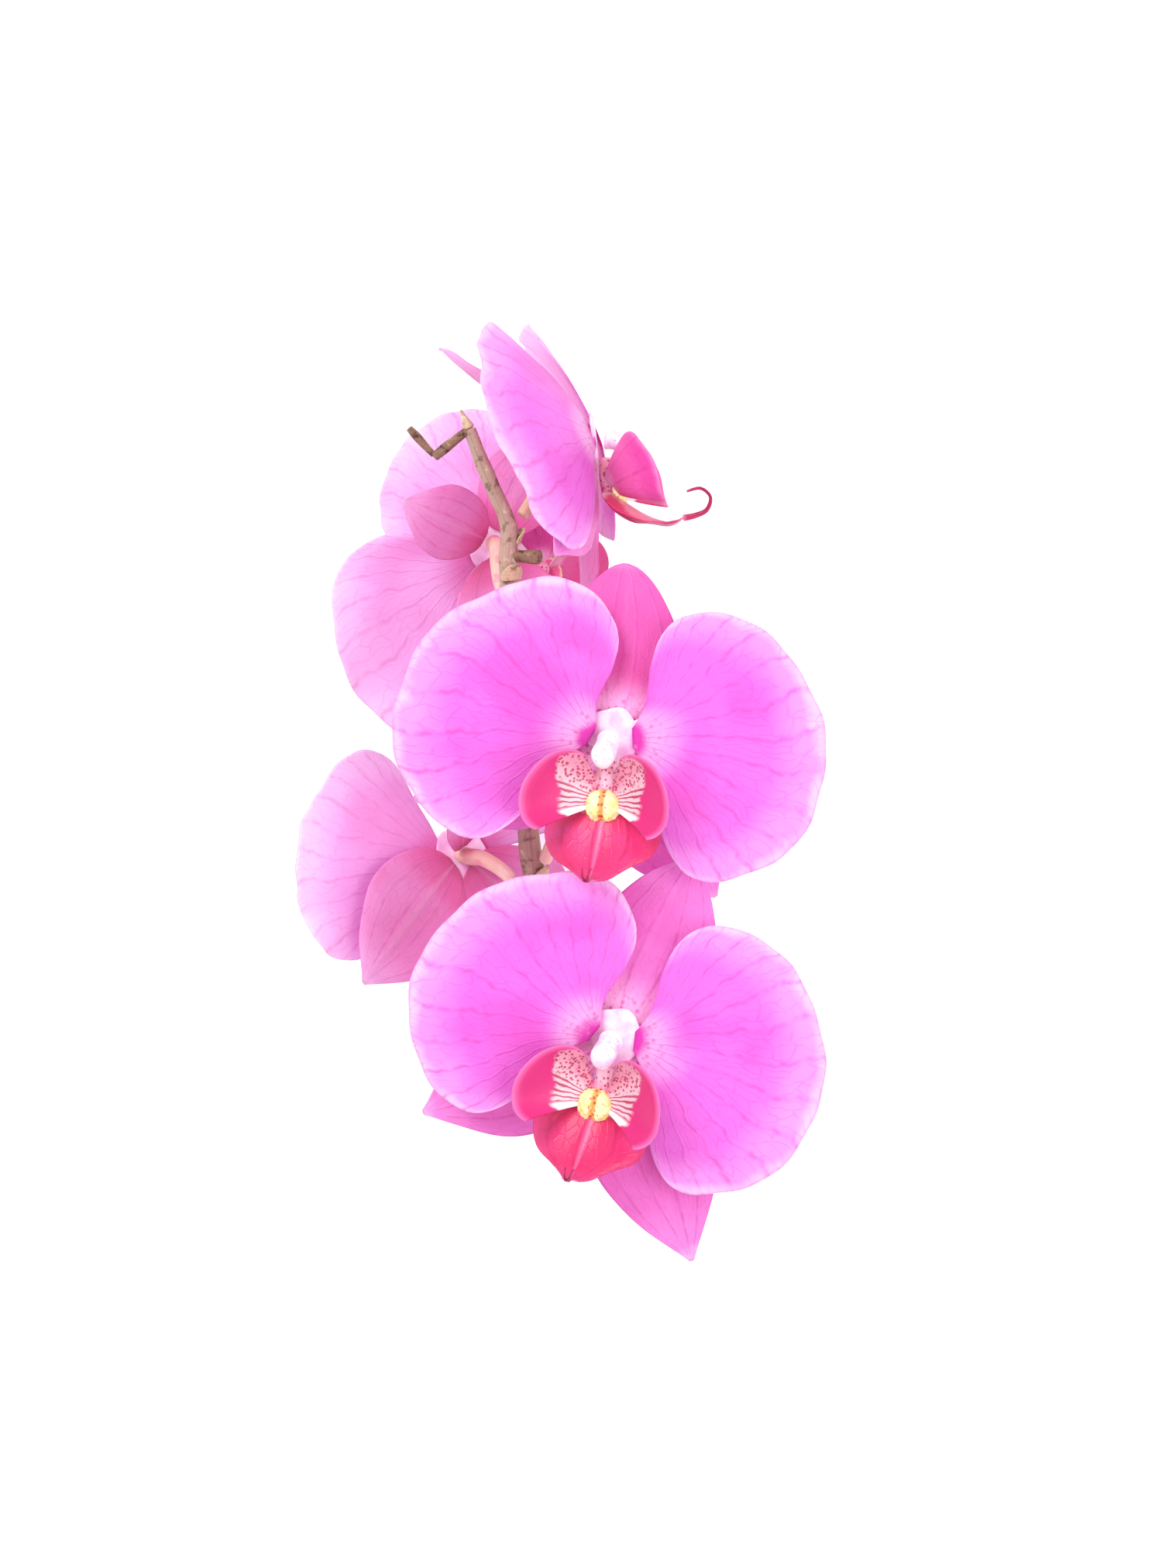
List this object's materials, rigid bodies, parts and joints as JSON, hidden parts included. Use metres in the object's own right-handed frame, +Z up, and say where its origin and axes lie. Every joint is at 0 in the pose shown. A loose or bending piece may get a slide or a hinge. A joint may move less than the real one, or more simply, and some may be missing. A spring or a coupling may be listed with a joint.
{
  "type": "cut orchid spray",
  "caption": "Cut moth orchid spray lying down: open flowers with petals, sepals, lip and column on a short bending stem.",
  "frame": {"origin": "under the middle of the whole spray, on the surface that it lies on", "axes": "+Z up from the surface, +Y towards the dry tip of the stem, +X to the right when seen from above with the tip away from you"},
  "size_m": [0.128, 0.2308, 0.1025],
  "materials": {
    "petal": "soft satin petal, orchid pink paling to the margin, with darker branching veins",
    "sepal": "soft satin sepal, deeper magenta than the petals, netted with fine veins",
    "lip": "waxy crimson lobes with a yellow callus, dark stripes and speckles on the side lobes",
    "column": "waxy white flushed with pink",
    "pedicel": "smooth cream stalk flushed with pink",
    "stem": "mottled brown, matt",
    "bract": "dry papery tan"
  },
  "bodies": {
    "root": {"upper_flower_left_petal": "petal", "upper_flower_right_petal": "petal", "upper_flower_dorsal_sepal": "sepal", "upper_flower_left_lateral_sepal": "sepal", "upper_flower_right_lateral_sepal": "sepal", "upper_flower_lip": "lip", "upper_flower_column": "column", "upper_flower_pedicel": "pedicel", "upper_flower_bract": "bract", "lower_flower_left_petal": "petal", "lower_flower_right_petal": "petal", "lower_flower_dorsal_sepal": "sepal", "lower_flower_left_lateral_sepal": "sepal", "lower_flower_right_lateral_sepal": "sepal", "lower_flower_lip": "lip", "lower_flower_column": "column", "lower_flower_pedicel": "pedicel", "lower_flower_bract": "bract", "top_flower_left_petal": "petal", "top_flower_right_petal": "petal", "top_flower_dorsal_sepal": "sepal", "top_flower_left_lateral_sepal": "sepal", "top_flower_right_lateral_sepal": "sepal", "top_flower_lip": "lip", "top_flower_column": "column", "top_flower_pedicel": "pedicel", "top_flower_bract": "bract", "upper_back_flower_left_petal": "petal", "upper_back_flower_right_petal": "petal", "upper_back_flower_dorsal_sepal": "sepal", "upper_back_flower_left_lateral_sepal": "sepal", "upper_back_flower_right_lateral_sepal": "sepal", "upper_back_flower_lip": "lip", "upper_back_flower_column": "column", "upper_back_flower_pedicel": "pedicel", "upper_back_flower_bract": "bract", "lower_back_flower_left_petal": "petal", "lower_back_flower_right_petal": "petal", "lower_back_flower_dorsal_sepal": "sepal", "lower_back_flower_left_lateral_sepal": "sepal", "lower_back_flower_right_lateral_sepal": "sepal", "lower_back_flower_lip": "lip", "lower_back_flower_column": "column", "lower_back_flower_pedicel": "pedicel", "lower_back_flower_bract": "bract", "stem": "stem", "stem_dry_tip": "bract", "side_twig": "stem", "dead_bud": "stem", "cut_stub": "stem", "node_scale": "bract"}
  },
  "joints": []
}
